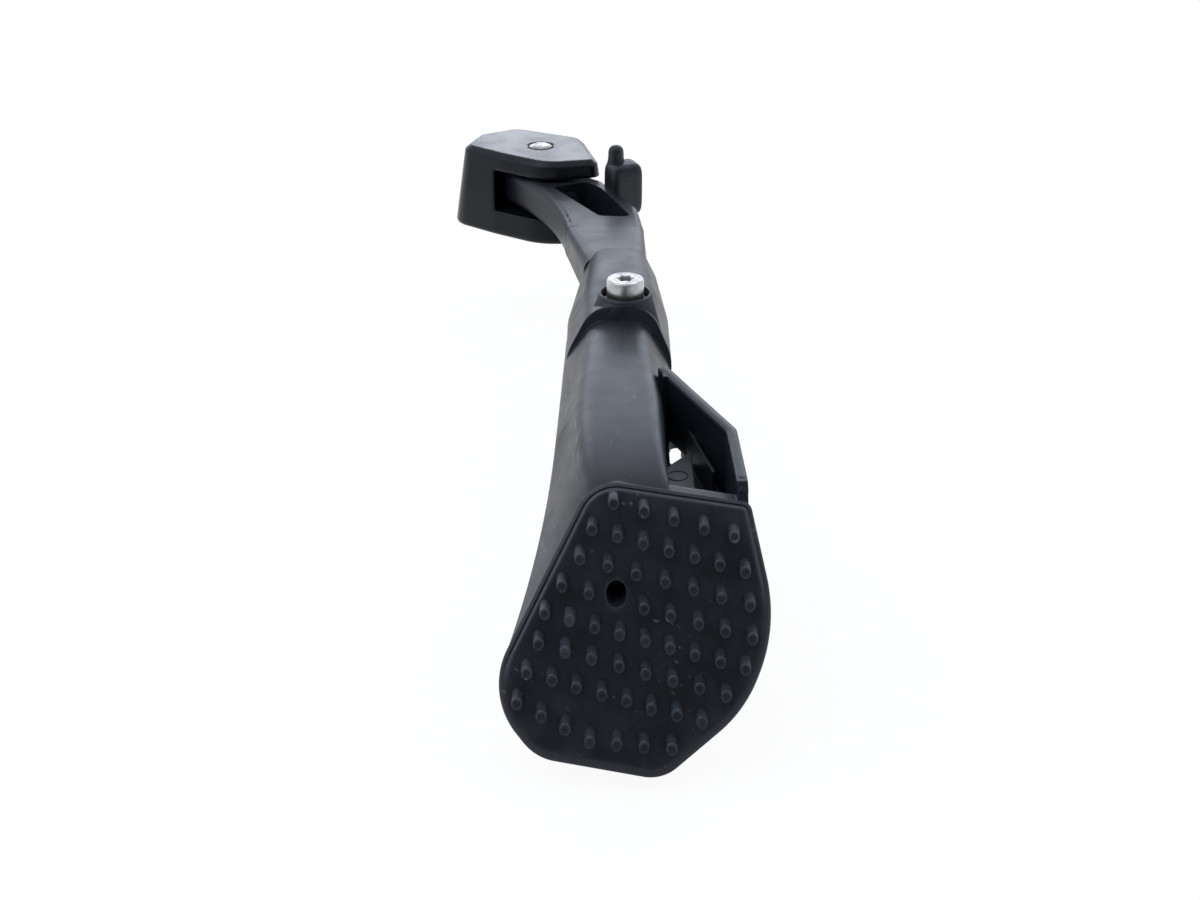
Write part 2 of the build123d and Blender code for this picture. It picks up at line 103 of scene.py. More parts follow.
def linear(hex_colour: str) -> tuple[float, float, float, float]:
    """Turns an sRGB hex colour into linear RGBA.

    Args:
        hex_colour: six hex digits with a leading hash.

    Returns:
        Linear red, green, blue and an alpha of one.
    """
    raw = np.array([int(hex_colour[i : i + 2], 16) for i in (1, 3, 5)]) / 255.0
    low, high = raw / 12.92, ((raw + 0.055) / 1.055) ** 2.4
    red, green, blue = np.where(raw <= 0.04045, low, high)
    return float(red), float(green), float(blue), 1.0


def per(size_mm: float) -> float:
    """Pattern scale for a feature of this size in millimetres, on Object coordinates in metres."""
    return 1.0 / (size_mm * MM)


def placed(name: str, data: Any) -> Object:
    """Puts data into the scene as a new object of this name."""
    piece = bpy.data.objects.new(name, data)
    bpy.context.scene.collection.objects.link(piece)
    return piece


def skin(name: str, sheets: Array, wear_and_light: Array | None = None, round_rows: bool = False) -> Object:
    """Puts grids of points into one mesh of quads, closed along the columns.

    Neighbouring rows and columns share a quad, the last column meets the first, and rows that fall on
    one point become a pole. Doubled points are merged before the normals are turned outwards.

    Args:
        name: piece name.
        sheets: points in millimetres, shaped grids by rows by columns by 3.
        wear_and_light: how worn each point is, with painted light added on some pieces, shaped as the
            grids, or none.
        round_rows: whether the last row meets the first too.

    Returns:
        The new object, at the origin.
    """
    index = np.arange(sheets[..., 0].size).reshape(sheets.shape[:3])
    index = np.concatenate([index, index[:, :, :1]], axis=2)
    if round_rows:
        index = np.concatenate([index, index[:, :1]], axis=1)
    low, high = index[:, :-1], index[:, 1:]
    quads = np.stack([low[..., :-1], low[..., 1:], high[..., 1:], high[..., :-1]], axis=-1)
    mesh = bpy.data.meshes.new(name)
    mesh.from_pydata((sheets.reshape(-1, 3) * MM).tolist(), [], quads.reshape(-1, 4).tolist())
    layer = mesh.attributes.new(WEAR_AND_LIGHT, "FLOAT", "POINT")
    layer.data.foreach_set("value", np.zeros(index.max() + 1) if wear_and_light is None else wear_and_light.ravel())
    shell = bmesh.new()
    shell.from_mesh(mesh)
    bmesh.ops.remove_doubles(shell, verts=shell.verts, dist=MERGE_MM * MM)
    bmesh.ops.dissolve_degenerate(shell, edges=shell.edges, dist=SLIVER_MM * MM)
    bmesh.ops.recalc_face_normals(shell, faces=shell.faces)
    shell.to_mesh(mesh)
    shell.free()
    mesh.shade_smooth()
    mesh.set_sharp_from_angle(angle=math.radians(SHARP_ANGLE))
    return placed(name, mesh)


def full_turn(count: int) -> Array:
    """Even angles once round, from 0 up to the one before a whole turn."""
    return np.linspace(0.0, 2.0 * np.pi, count, endpoint=False)


def turned(radius: Array, height: Array, centre: Triple, sides: int, axis: Axis = Axis.UP) -> Array:
    """Surface of a turned piece: a radius and a height carried round an axis.

    Point = centre + radius * (cos a * first + sin a * second) + height * along, with a running once
    round the axis. Radius and height may vary along the profile and round the axis.

    Args:
        radius: radii in millimetres, rows by 1 or rows by sides.
        height: heights along the axis, shaped the same way.
        centre: a point on the axis.
        sides: steps round the axis.
        axis: direction of the axis.

    Returns:
        One grid of points, 1 by rows by sides by 3.
    """
    first, second, along = (np.array(direction) for direction in axis.value)
    angle = full_turn(sides)
    ring = np.cos(angle)[:, None] * first + np.sin(angle)[:, None] * second
    radius, height = np.broadcast_arrays(radius, height)
    radius = np.broadcast_to(radius, (radius.shape[0], sides))
    height = np.broadcast_to(height, radius.shape)
    points = np.array(centre) + radius[..., None] * ring + height[..., None] * along
    return points[None]


def helix_wave(height: Array, pitch: float, sides: int) -> Array:
    """Thread form, 0 in the root and 1 on the crest: triangle wave of height / pitch + angle / turn."""
    turn = np.linspace(0.0, 1.0, sides, endpoint=False)
    phase = (height[:, None] / pitch + turn) % 1.0
    return np.clip(THREAD_SLOPE * (1.0 - np.abs(2.0 * phase - 1.0)) - THREAD_FLAT, 0.0, 1.0)


def travelled(path: Array) -> Array:
    """Length travelled along a path of points, from 0 at its first."""
    return np.concatenate([[0.0], np.cumsum(np.linalg.norm(np.diff(path, axis=0), axis=1))])


def at_lengths(path: Array, length: Array, at: Array) -> Array:
    """Points of a path at some lengths along it, straight between its own points."""
    return np.column_stack([np.interp(at, length, column) for column in path.T])


def signed_power(values: Array, power: float) -> Array:
    """Values raised to a power with their signs kept, as a superellipse needs them."""
    return np.sign(values) * np.abs(values) ** power


def capped(loops: Array) -> Array:
    """Closes a run of loops, rows by columns by 3, into one grid with a pole in each end's middle."""
    ends = np.repeat(loops[[0, -1]].mean(axis=1, keepdims=True), loops.shape[1], axis=1)
    return np.concatenate([ends[:1], loops, ends[1:]])[None]


def rounded_outline(corners: Array, radii: Array, count: int) -> tuple[Array, Array]:
    """Closed outline of straight sides with an arc at each corner, at even steps along its length.

    Each arc is centred on its corner's bisector, at radius / sin(half angle), and is swept by turning
    its first spoke into its last one. The points are then spaced evenly along the whole outline.

    Args:
        corners: corner points, clockwise, n by 2.
        radii: one radius for each corner.
        count: points wanted.

    Returns:
        The points, count by 2, and their outward normals.
    """
    back, ahead = np.roll(corners, 1, axis=0) - corners, np.roll(corners, -1, axis=0) - corners
    back /= np.linalg.norm(back, axis=1, keepdims=True)
    ahead /= np.linalg.norm(ahead, axis=1, keepdims=True)
    half = np.arccos(np.clip((back * ahead).sum(axis=1), -1.0, 1.0)) / 2.0
    middle = back + ahead
    middle /= np.linalg.norm(middle, axis=1, keepdims=True)
    centre = corners + middle * (radii / np.sin(half))[:, None]
    reach = (radii / np.tan(half))[:, None]
    first, last = corners + back * reach - centre, corners + ahead * reach - centre
    sweep = (np.pi - 2.0 * half)[:, None, None]
    share = np.linspace(0.0, 1.0, ARC_STEPS)[None, :, None]
    spokes = np.sin((1 - share) * sweep) * first[:, None] + np.sin(share * sweep) * last[:, None]
    spokes = spokes / np.sin(sweep)
    path = (centre[:, None] + spokes).reshape(-1, 2)
    path = np.concatenate([path, path[:1]])
    length = travelled(path)
    at = np.linspace(0.0, length[-1], count, endpoint=False)
    points = at_lengths(path, length, at)
    run = np.roll(points, -1, axis=0) - np.roll(points, 1, axis=0)
    run /= np.linalg.norm(run, axis=1, keepdims=True)
    return points, np.column_stack([-run[:, 1], run[:, 0]])


@dataclass(frozen=True)
class Grain:
    """Fractal noise as a mask: grain size, octaves, the limits it rises between, its values there."""

    size_mm: float
    detail: float
    low: float
    high: float
    start: float = 0.0
    end: float = 1.0


class Tree:
    """The node tree of a material or a world, emptied, with short ways to fill it."""

    def __init__(self, owner: Any) -> None:
        """Empties the owner's node tree."""
        owner.use_nodes = True
        self.tree = owner.node_tree
        self.tree.nodes.clear()

    def fill(self, node: Node, inputs: dict[Any, Any]) -> None:
        """Sets a node's inputs, or links them to the output sockets that feed them."""
        for key, value in inputs.items():
            if isinstance(value, Socket):
                self.tree.links.new(value, node.inputs[key])
            else:
                node.inputs[key].default_value = value

    def node(self, kind: str, inputs: dict[Any, Any] | None = None, **settings: Any) -> Node:
        """Adds one node with its settings, values and links.

        Args:
            kind: Blender's node type.
            inputs: socket name or number to a value, or to the output socket that feeds it.
            settings: the node's own properties.

        Returns:
            The new node.
        """
        node = self.tree.nodes.new(kind)
        for key, value in settings.items():
            setattr(node, key, value)
        self.fill(node, inputs or {})
        return node

    def ramp(self, value: Socket, *limits: float, curve: str = "LINEAR") -> Socket:
        """Maps a value between two limits onto 0 to 1, or onto a third and fourth number."""
        names = ("From Min", "From Max", "To Min", "To Max")
        inputs = {"Value": value, **dict(zip(names, limits))}
        return self.node("ShaderNodeMapRange", inputs, interpolation_type=curve).outputs["Result"]

    def mix(self, share: Socket, first: Any, second: Any) -> Socket:
        """Mixes two colours by a share between 0 and 1."""
        return self.node("ShaderNodeMix", {0: share, 6: first, 7: second}, data_type="RGBA").outputs[2]

    def math(self, operation: str, first: Any, second: Any) -> Socket:
        """Combines two values with one arithmetic operation."""
        return self.node("ShaderNodeMath", {0: first, 1: second}, operation=operation).outputs[0]

    def forward(self, kind: str) -> Socket:
        """The Y of one kind of texture coordinates."""
        where = self.node("ShaderNodeTexCoord").outputs[kind]
        return self.node("ShaderNodeSeparateXYZ", {0: where}).outputs["Y"]


class Recipe(Tree):
    """A new material with its shader, output and Object coordinates ready to link."""

    def __init__(self, name: str) -> None:
        """Starts an empty material of this name."""
        self.material = bpy.data.materials.new(name)
        super().__init__(self.material)
        self.shader = self.node("ShaderNodeBsdfPrincipled")
        self.node("ShaderNodeOutputMaterial", {"Surface": self.shader.outputs["BSDF"]})
        self.where = self.node("ShaderNodeTexCoord").outputs["Object"]

    def feed(self, **sockets: Any) -> None:
        """Sets or links shader sockets, written with underscores for spaces."""
        self.fill(self.shader, {key.replace("_", " "): value for key, value in sockets.items()})

    def noise(self, size_mm: float, detail: float, vector: Socket | None = None) -> Socket:
        """Fractal noise whose coarsest grain has this size, on Object or on given coordinates."""
        inputs = {"Vector": vector or self.where, "Scale": per(size_mm), "Detail": detail}
        return self.node("ShaderNodeTexNoise", inputs).outputs["Fac"]

    def grain(self, grain: Grain, vector: Socket | None = None) -> Socket:
        """Noise held between a grain's limits, on Object coordinates unless others are given."""
        noise = self.noise(grain.size_mm, grain.detail, vector)
        return self.ramp(noise, grain.low, grain.high, grain.start, grain.end)

    def stretched(self, turn: Triple, factors: Triple) -> Socket:
        """Object coordinates turned by degrees and scaled, for marks that run one way."""
        rotation = tuple(math.radians(angle) for angle in turn)
        inputs = {"Vector": self.where, "Rotation": rotation}
        turned_where = self.node("ShaderNodeVectorRotate", inputs, rotation_type="EULER_XYZ")
        inputs = {0: turned_where.outputs[0], 1: factors}
        return self.node("ShaderNodeVectorMath", inputs, operation="MULTIPLY").outputs[0]

    def near(self, centre_mm: Triple, reach_mm: Triple) -> Socket:
        """Soft spot: 1 round a point in millimetres, falling to 0 at its reach along each axis."""
        centre = {0: self.where, 1: tuple(place * MM for place in centre_mm)}
        offset = self.node("ShaderNodeVectorMath", centre, operation="SUBTRACT")
        scaled = {0: offset.outputs[0], 1: tuple(reach * MM for reach in reach_mm)}
        share = self.node("ShaderNodeVectorMath", scaled, operation="DIVIDE")
        length = self.node("ShaderNodeVectorMath", {0: share.outputs[0]}, operation="LENGTH")
        return self.ramp(length.outputs["Value"], SPOT_CORE, 1.0, 1.0, 0.0)

    def specks(self, size_mm: float, near: float, far: float) -> Socket:
        """Round specks, one to a cell of this size: 1 in its middle, falling to 0 from near to far."""
        cells = self.node("ShaderNodeTexVoronoi", {"Vector": self.where, "Scale": per(size_mm)})
        return self.ramp(cells.outputs["Distance"], near, far, 1.0, 0.0)

    def worn_and_lit(self) -> Socket:
        """How worn the piece's own mesh says each point is."""
        # The piece's own per-point value of wear and painted light, as its mesh holds it.
        return self.node("ShaderNodeAttribute", attribute_name=WEAR_AND_LIGHT).outputs["Fac"]

    def soft_edges(self, radius_mm: float) -> Socket:
        """Normal rounded at every edge by a radius in millimetres, as a mould or paint leaves it."""
        bevel = self.node("ShaderNodeBevel", {"Radius": radius_mm * MM}, samples=BEVEL_SAMPLES)
        return bevel.outputs["Normal"]

    def bump(self, height: Socket, depth_mm: float, under: Socket | None = None) -> Socket:
        """Bump of a given depth in millimetres, on top of another normal where one is given."""
        inputs: dict[Any, Any] = {"Height": height, "Distance": depth_mm * MM}
        if under is not None:
            inputs["Normal"] = under
        return self.node("ShaderNodeBump", inputs).outputs["Normal"]


@dataclass(frozen=True)
class MouldedRubber:
    """Black vulcanised rubber: a dull black with a fine mould grain, greyed by dust and rubbing, and
    paler on the studs' upper sides and the sole's top bead as painted light.
    """

    name: str = "vulcanised rubber, moulded"
    black: str = "#1a1d23"
    clouded: str = "#22252c"
    # Pale grey of rubbed wear, also used for painted light on the stud sides and the sole's top bead.
    rubbed_and_lit: str = "#484c54"
    dust: str = "#83878b"
    grain_mm: float = 0.55
    grain_depth_mm: float = 0.05
    clouds: Grain = Grain(7.0, 5.0, 0.38, 0.66)
    # Grain that breaks up the pale of wear and of painted light.
    wear_and_light: Grain = Grain(0.8, 3.0, 0.3, 0.62, 0.35)
    speck_mm: float = 2.4
    speck_span: Pair = (0.05, 0.11)
    speck_patches: Grain = Grain(3.5, 2.0, 0.55, 0.66)
    scuffs: Grain = Grain(0.9, 2.0, 0.66, 0.72)
    scuff_patches: Grain = Grain(18.0, 1.0, 0.56, 0.66)
    scuff_turn: Triple = (0.0, 38.0, 0.0)
    scuff_stretch: Triple = (1.0, 1.0, 0.08)
    chafed_edge: tuple[Triple, Triple] = ((60.9, -273.9, 2.0), (2.2, 3.0, 2.2))
    chafing: Grain = Grain(0.9, 4.0, 0.42, 0.6)
    mark_share: float = 0.5
    roughness: Pair = (0.38, 0.52)
    ior: float = 1.52

    def material(self) -> Material:
        """Builds the material: clouded black, paler where the mesh's own value of wear and painted light
        says, with specks and scuffs.
        """
        r = Recipe(self.name)
        cloud = r.grain(self.clouds)
        body = r.mix(cloud, linear(self.black), linear(self.clouded))
        # Paler by the mesh's own value: rubbed wear, and painted light on the stud sides and the sole's
        # top bead.
        body = r.mix(r.math("MULTIPLY", r.worn_and_lit(), r.grain(self.wear_and_light)), body, linear(self.rubbed_and_lit))
        specks = r.specks(self.speck_mm, *self.speck_span)
        specks = r.math("MULTIPLY", specks, r.grain(self.speck_patches))
        lines = r.grain(self.scuffs, r.stretched(self.scuff_turn, self.scuff_stretch))
        scuffs = r.math("MULTIPLY", lines, r.grain(self.scuff_patches))
        chafed = r.math("MULTIPLY", r.near(*self.chafed_edge), r.grain(self.chafing))
        marks = r.math("MAXIMUM", r.math("MAXIMUM", specks, scuffs), chafed)
        marks = r.math("MULTIPLY", marks, self.mark_share)
        r.feed(Base_Color=r.mix(marks, body, linear(self.dust)))
        r.feed(Roughness=r.ramp(cloud, 0.0, 1.0, *self.roughness), IOR=self.ior)
        r.feed(Normal=r.bump(r.noise(self.grain_mm, 4.0), self.grain_depth_mm))
        return r.material


@dataclass(frozen=True)
class MouldedNylon:
    """Glass-filled nylon from a lightly etched tool: dark grey and satin, with pale rub marks."""

    name: str = "glass-filled nylon, moulded"
    grey: str = "#1c2027"
    pale: str = "#22262e"
    rub: str = "#8d9298"
    etch_mm: float = 0.5
    etch_depth_mm: float = 0.014
    edge_mm: float = 0.7
    clouds: Grain = Grain(28.0, 3.0, 0.3, 0.7)
    sheen: Grain = Grain(6.0, 3.0, 0.3, 0.7, 0.36, 0.44)
    ior: float = 1.5
    gloss: float = 0.42
    speck_mm: float = 3.0
    speck_span: Pair = (0.03, 0.07)
    speck_share: float = 0.7
    mark_share: float = 0.42
    rubs: Grain = Grain(0.9, 2.0, 0.6, 0.68)
    loose_rubs: Grain = Grain(24.0, 1.0, 0.6, 0.7, 0.0, 0.35)
    rub_turn: Triple = (0.0, 0.0, 9.0)
    rub_stretch: Triple = (1.0, 0.07, 1.0)
    rub_places: tuple[tuple[Triple, Triple], ...] = (
        ((20.5, -236.0, 6.5), (4.0, 26.0, 5.0)),
        ((18.0, -205.0, 3.0), (4.0, 22.0, 6.0)),
        ((15.0, -255.0, -12.0), (5.0, 22.0, 12.0)),
    )

    def material(self) -> Material:
        """Builds the material: soft grey clouds, fine etched grain and thin lengthwise rub marks."""
        r = Recipe(self.name)
        body = r.mix(r.grain(self.clouds), linear(self.grey), linear(self.pale))
        where = r.grain(self.loose_rubs)
        for centre, reach in self.rub_places:
            where = r.math("MAXIMUM", r.near(centre, reach), where)
        lines = r.grain(self.rubs, r.stretched(self.rub_turn, self.rub_stretch))
        rubs = r.math("MULTIPLY", lines, where)
        specks = r.math("MULTIPLY", r.specks(self.speck_mm, *self.speck_span), self.speck_share)
        marks = r.math("MULTIPLY", r.math("MAXIMUM", rubs, specks), self.mark_share)
        r.feed(Base_Color=r.mix(marks, body, linear(self.rub)))
        r.feed(Roughness=r.grain(self.sheen), IOR=self.ior, Specular_IOR_Level=self.gloss)
        edges = r.soft_edges(self.edge_mm)
        r.feed(Normal=r.bump(r.noise(self.etch_mm, 2.0), self.etch_depth_mm, edges))
        return r.material


@dataclass(frozen=True)
class PaintedCasting:
    """Black paint on a blasted casting: glossy enough to mirror the studio, with a soft orange peel."""

    name: str = "cast aluminium, black paint"
    black: str = "#111318"
    dusty: str = "#191b21"
    dust: Grain = Grain(12.0, 5.0, 0.4, 0.75)
    roughness: float = 0.22
    dulled: float = 0.08
    gloss: float = 0.3
    peel_mm: float = 2.6
    peel_depth_mm: float = 0.012
    edge_mm: float = 1.5

    def material(self) -> Material:
        """Builds the material: near-black paint with a soft orange peel and a little dust."""
        r = Recipe(self.name)
        dust = r.grain(self.dust)
        r.feed(Base_Color=r.mix(dust, linear(self.black), linear(self.dusty)))
        sheen = r.ramp(dust, 0.0, 1.0, self.roughness, self.roughness + self.dulled)
        r.feed(Roughness=sheen, Specular_IOR_Level=self.gloss)
        edges = r.soft_edges(self.edge_mm) if self.edge_mm else None
        r.feed(Normal=r.bump(r.noise(self.peel_mm, 2.0), self.peel_depth_mm, edges))
        return r.material


@dataclass(frozen=True)
class PlatedSteel:
    """Steel with a bright zinc plate: clear metal, a little clouded by handling."""

    name: str = "steel, bright zinc plate"
    bright: str = "#e2e1dd"
    dull: str = "#bdbbb6"
    clouds: Grain = Grain(2.2, 4.0, 0.35, 0.7)
    roughness: float = 0.33
    dulled: float = 0.14
    grain_mm: float = 0.4
    grain_depth_mm: float = 0.006

    def material(self) -> Material:
        """Builds the material: metal of varying brightness with a fine plated grain."""
        r = Recipe(self.name)
        cloud = r.grain(self.clouds)
        r.feed(Base_Color=r.mix(cloud, linear(self.bright), linear(self.dull)), Metallic=1.0)
        r.feed(Roughness=r.ramp(cloud, 0.0, 1.0, self.roughness, self.roughness + self.dulled))
        r.feed(Normal=r.bump(r.noise(self.grain_mm, 3.0), self.grain_depth_mm))
        return r.material


@dataclass(frozen=True)
class SinteredBronze:
    """Oil-filled sintered bronze: warm metal with a fine open grain."""

    name: str = "sintered bronze"
    warm: str = "#a9834f"
    dark: str = "#6d5230"
    pores: Grain = Grain(0.3, 2.0, 0.35, 0.6)
    pore_depth_mm: float = 0.02
    roughness: float = 0.42

    def material(self) -> Material:
        """Builds the material: bronze darkened in its pores."""
        r = Recipe(self.name)
        pores = r.grain(self.pores)
        r.feed(Base_Color=r.mix(pores, linear(self.dark), linear(self.warm)))
        r.feed(Metallic=1.0, Roughness=self.roughness)
        r.feed(Normal=r.bump(pores, self.pore_depth_mm))
        return r.material


class Finishes:
    """The stand's finishes, each made once."""

    def __init__(self) -> None:
        """Makes the materials."""
        self.rubber = MouldedRubber().material()
        self.nylon = MouldedNylon().material()
        self.casting = PaintedCasting().material()
        self.forging = PaintedCasting(
            name="forged aluminium, satin black paint",
            black="#1c2027",
            dusty="#23272f",
            roughness=0.38,
            gloss=0.5,
            peel_mm=1.4,
            edge_mm=0.0,
        ).material()
        self.zinc = PlatedSteel().material()
        self.steel = PlatedSteel(
            name="steel, turned", bright="#c9c6c0", dull="#8f8b85", roughness=0.28
        ).material()
        self.bronze = SinteredBronze().material()

    def dress(self) -> None:
        """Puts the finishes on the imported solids."""
        worn_by = {
            "housing": self.casting,
            "arm": self.forging,
            "lower_leg": self.nylon,
            "foot_pad": self.rubber,
            "bumper": self.rubber,
            "clamp_screw": self.zinc,
            "clamp_washer": self.zinc,
            "clamp_nut": self.zinc,
            "upper_bush": self.bronze,
            "lower_bush": self.bronze,
        }
        for name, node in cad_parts.items():
            node.data.materials.clear()
            node.data.materials.append(worn_by.get(name, self.steel))
            LOG.info("dressed %s", name)

    @staticmethod
    def fit(piece: Object, material: Material, body: Body, slot: str, *stands_for: str) -> None:
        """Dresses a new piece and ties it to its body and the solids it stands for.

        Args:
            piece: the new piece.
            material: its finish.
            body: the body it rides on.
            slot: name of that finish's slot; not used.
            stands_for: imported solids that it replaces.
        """
        piece.data.materials.append(material)
        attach(piece, body.value)
        if stands_for:
            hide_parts(*stands_for)
        LOG.info("built %s on %s", piece.name, body.value)


@dataclass
class FootPad:
    """Rubber sole: a bordered tread on the leaning foot, one hole and short round studs."""

    origin: Triple = (30.6, -270.0, 10.8)
    lean: float = 30.0
    corners: Pairs = (
        (-6.3, 2.1), (28.3, -3.1), (34.2, -30.2), (26.9, -48.3), (8.9, -63.3), (-18.6, -58.5),
        (-29.7, -44.8),
    )
    radii: tuple[float, ...] = (9.0, 2.5, 36.0, 29.0, 9.0, 11.0, 17.0)
    outline_steps: int = 420
    # Inset from the outline, height over the foot's face and paleness, from the back edge up to the
    # tread:
    # a grooved bead along the edges that face up, and a plain rounded edge below. The paleness is edge
    # wear, and a painted highlight on the slope up to the tread where the edge faces up.
    beaded: Triples = (
        (0.5, -4.0, 0.0), (0.15, -3.93, 0.0), (0.0, -3.7, 0.0), (0.0, -1.85, 0.0), (0.05, -1.66, 0.1),
        (0.2, -1.53, 0.2), (0.8, -1.26, 0.1), (0.88, -1.38, 0.0), (1.0, -1.42, 0.0), (1.12, -1.34, 0.0),
        (1.22, -1.08, 0.3), (1.4, -0.78, 0.9), (1.65, -0.6, 0.8), (1.95, -0.52, 0.2), (2.3, -0.5, 0.0),
    )
    rounded: Triples = (
        (0.5, -4.0, 0.0), (0.15, -3.93, 0.0), (0.0, -3.7, 0.0), (0.0, -2.2, 0.0), (0.05, -1.85, 0.1),
        (0.2, -1.55, 0.15), (0.45, -1.3, 0.1), (0.7, -1.12, 0.05), (0.95, -0.98, 0.0),
        (1.2, -0.86, 0.0), (1.45, -0.76, 0.0), (1.7, -0.67, 0.0), (2.0, -0.59, 0.0), (2.5, -0.53, 0.0),
        (3.0, -0.5, 0.0),
    )
    tread: float = -0.5
    back: float = -4.0
    hole: Pair = (-1.05, -23.0)
    hole_half: Pair = (2.2, 2.95)
    mouth: float = 1.16
    # Size of the hole's lip against the hole, and height over the tread.
    lip: Pairs = ((1.08, 0.12), (1.02, 0.1), (1.0, -0.12))
    lip_wear: float = 0.5
    tread_shares: tuple[float, ...] = (0.25, 0.5, 0.75, 0.95, 1.0)
    # Upward part of the edge's normal where the bead begins, and over which it grows.
    bead_rise: Pair = (-0.1, 0.6)
    stud_r: float = 1.2
    row_first: float = -2.4
    row_step: float = 6.95
    row_slope: float = -0.275
    rows: tuple[tuple[float, float, int], ...] = (
        (-1.7, 24.5, 5), (-6.2, 26.8, 7), (-9.0, 27.8, 7), (-12.8, 28.3, 8), (-16.5, 26.7, 9),
        (-17.9, 22.6, 8), (-20.4, 17.3, 8),
    )
    toe: Pairs = ((-22.4, -44.8), (-6.8, -53.1), (10.8, -54.5))
    toe_gaps: int = 3
    stud_sides: int = 28
    seed: int = 7
    radius_spread: float = 0.015
    height_spread: float = 0.02
    bend_spread: float = 0.02
    # Least and extra paleness of a stud, drawn at random; it scales both the rubbed wear and the painted
    # light.
    paleness_least: float = 0.55
    paleness_more: float = 0.25
    # Painted light round each stud: its paleness times first + second * sin of the angle round it, so
    # the upper side is paler, as if lit from above, and the lower side darker.
    shade: Pair = (0.7, 0.3)
    # Share of the stud's radius, height and paleness, from its root to the middle of its dished end; the
    # paleness is rubbed wear on the end's ring and painted light on the sides, with painted shade at the
    # root.
    stud_profile: Triples = (
        (0.0, -1.2, 0.0), (1.13, -1.2, 0.0), (1.13, -0.02, 0.0), (1.1, 0.35, 0.45), (1.07, 1.0, 0.75),
        (1.04, 2.2, 0.85), (1.02, 3.2, 0.85), (0.99, 3.5, 0.95), (0.92, 3.65, 1.0), (0.83, 3.7, 1.0),
        (0.75, 3.67, 0.45), (0.68, 3.61, 0.05), (0.4, 3.57, 0.0), (0.0, 3.56, 0.0),
    )
    dusty: Pairs = ((-11.1, -27.1), (-12.2, -33.6))
    dusty_reach: float = 2.5
    dusty_from: float = 0.3
    dusty_wear: float = 0.75
    torn: Pair = (24.5, -9.1)
    curl_r: float = 0.8
    curl_tube: float = 0.3
    curl_turn: Pair = (-150.0, 25.0)
    curl_rows: int = 20
    curl_sides: int = 10
    curl_taper: float = 0.6
    curl_wear: float = 0.9

    def on_face(self, u: Array, v: Array, n: Array) -> Array:
        """Frame points of places across, up and out of the leaning face: origin + u X + v up + n out."""
        lean = math.radians(self.lean)
        up = np.array([0.0, math.sin(lean), math.cos(lean)])
        out = np.array([0.0, -math.cos(lean), math.sin(lean)])
        across = np.array([1.0, 0.0, 0.0])
        return np.array(self.origin) + u[..., None] * across + v[..., None] * up + n[..., None] * out

    def hole_ring(self, outline: Array, grow: float, height: float) -> tuple[Array, Array, Array]:
        """Ring on the hole's wall, spoke for spoke with the outline.

        The wall runs along the leg, not along the face's normal.

        Args:
            outline: the pad's outline, count by 2.
            grow: size against the hole's own.
            height: height over the foot's face.

        Returns:
            Places across, up and out of the face.
        """
        spoke = np.arctan2(outline[:, 1] - self.hole[1], outline[:, 0] - self.hole[0])
        shift = (self.tread - height) * math.tan(math.radians(self.lean))
        across = self.hole[0] + grow * self.hole_half[0] * np.cos(spoke)
        up = self.hole[1] + shift + grow * self.hole_half[1] * np.sin(spoke)
        return across, up, np.full(len(spoke), height)

    def sole(self) -> Object:
        """Ring-shaped skin: the edge profile carried round the outline, then the tread, hole and back.

        Point = outline - inset * outward normal, raised by the height. The profile turns from beaded to
        rounded as the outward normal turns down.
        """
        corners, radii = map(np.array, (self.corners, self.radii))
        outline, normal = rounded_outline(corners, radii, self.outline_steps)
        upward = np.clip((normal[:, 1] - self.bead_rise[0]) / self.bead_rise[1], 0.0, 1.0)
        upward = (upward * upward * (3.0 - 2.0 * upward))[None, :, None]
        beaded, rounded = np.array(self.beaded)[:, None], np.array(self.rounded)[:, None]
        profile = upward * beaded + (1.0 - upward) * rounded
        edge = outline[None] - profile[..., :1] * normal[None]
        border = np.stack([edge[..., 0], edge[..., 1], profile[..., 1]], axis=1)
        mouth = np.array(self.hole_ring(outline, self.mouth, self.tread))
        share = np.array(self.tread_shares)[:, None, None]
        tread = border[-1] + (mouth - border[-1]) * share
        rings = [*((grow, self.tread + rise) for grow, rise in self.lip), (1.0, self.back)]
        hole = np.array([self.hole_ring(outline, grow, height) for grow, height in rings])
        u, v, n = np.moveaxis(np.concatenate([border, tread, hole]), 1, 0)
        wear_and_light = np.zeros(u.shape)
        # Paleness: edge wear, with a painted highlight on the bead's slope where the edge faces up.
        wear_and_light[: len(profile)] = profile[..., 2]
        wear_and_light[-len(rings) : -2] = self.lip_wear
        return skin("pad_sole", self.on_face(u, v, n)[None], wear_and_light[None], round_rows=True)

    def stud_places(self) -> Array:
        """Sloped rows of even places without the hole's, and the last row along the toe."""
        places = [
            (left + (right - left) * index / (count - 1), row)
            for row, (left, right, count) in enumerate(self.rows)
            for index in range(count)
        ]
        across, row = np.array(places).T
        rows = np.column_stack([across, self.row_first - row * self.row_step + self.row_slope * across])
        rows = np.delete(rows, np.argmin(np.linalg.norm(rows - np.array(self.hole), axis=1)), axis=0)
        toe = np.array(self.toe)
        steps = np.linspace(0.0, len(toe) - 1, self.toe_gaps * (len(toe) - 1) + 1)
        return np.concatenate([rows, at_lengths(toe, np.arange(len(toe)), steps)])

